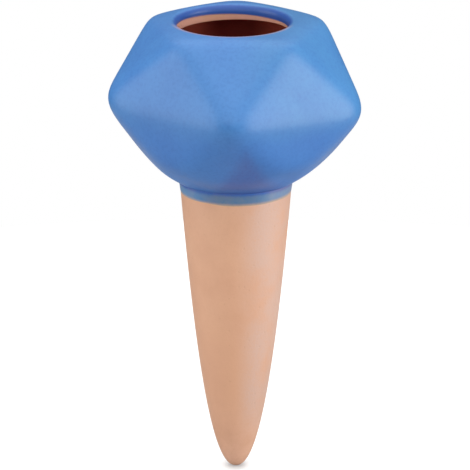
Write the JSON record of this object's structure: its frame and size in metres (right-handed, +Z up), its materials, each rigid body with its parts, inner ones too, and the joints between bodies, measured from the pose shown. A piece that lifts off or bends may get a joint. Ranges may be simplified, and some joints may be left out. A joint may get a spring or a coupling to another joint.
{
  "type": "self watering spike",
  "caption": "Hollow clay watering spike: a faceted glazed reservoir head with an open round mouth, over a porous tapered spike that seeps water into soil.",
  "frame": {"origin": "on the spike's axis in the joint plane of head and spike, which is the soil line when the spike is fully pushed in", "axes": "+Z up along the axis, from the spike's tip to the mouth; -Y faces the picture's side, where one corner of the head's equator points"},
  "size_m": [0.097, 0.0928, 0.18],
  "materials": {
    "terracotta": "matte, porous, unglazed",
    "fired_slip": "matte, unglazed",
    "blue_glaze": "satin blue glaze",
    "thin_glaze": "thin satin blue glaze over clay"
  },
  "bodies": {
    "root": {"reservoir_head": "terracotta", "spike": "terracotta", "slip_ring": "fired_slip", "head_glaze": "blue_glaze", "collar_glaze": "thin_glaze"}
  },
  "joints": []
}
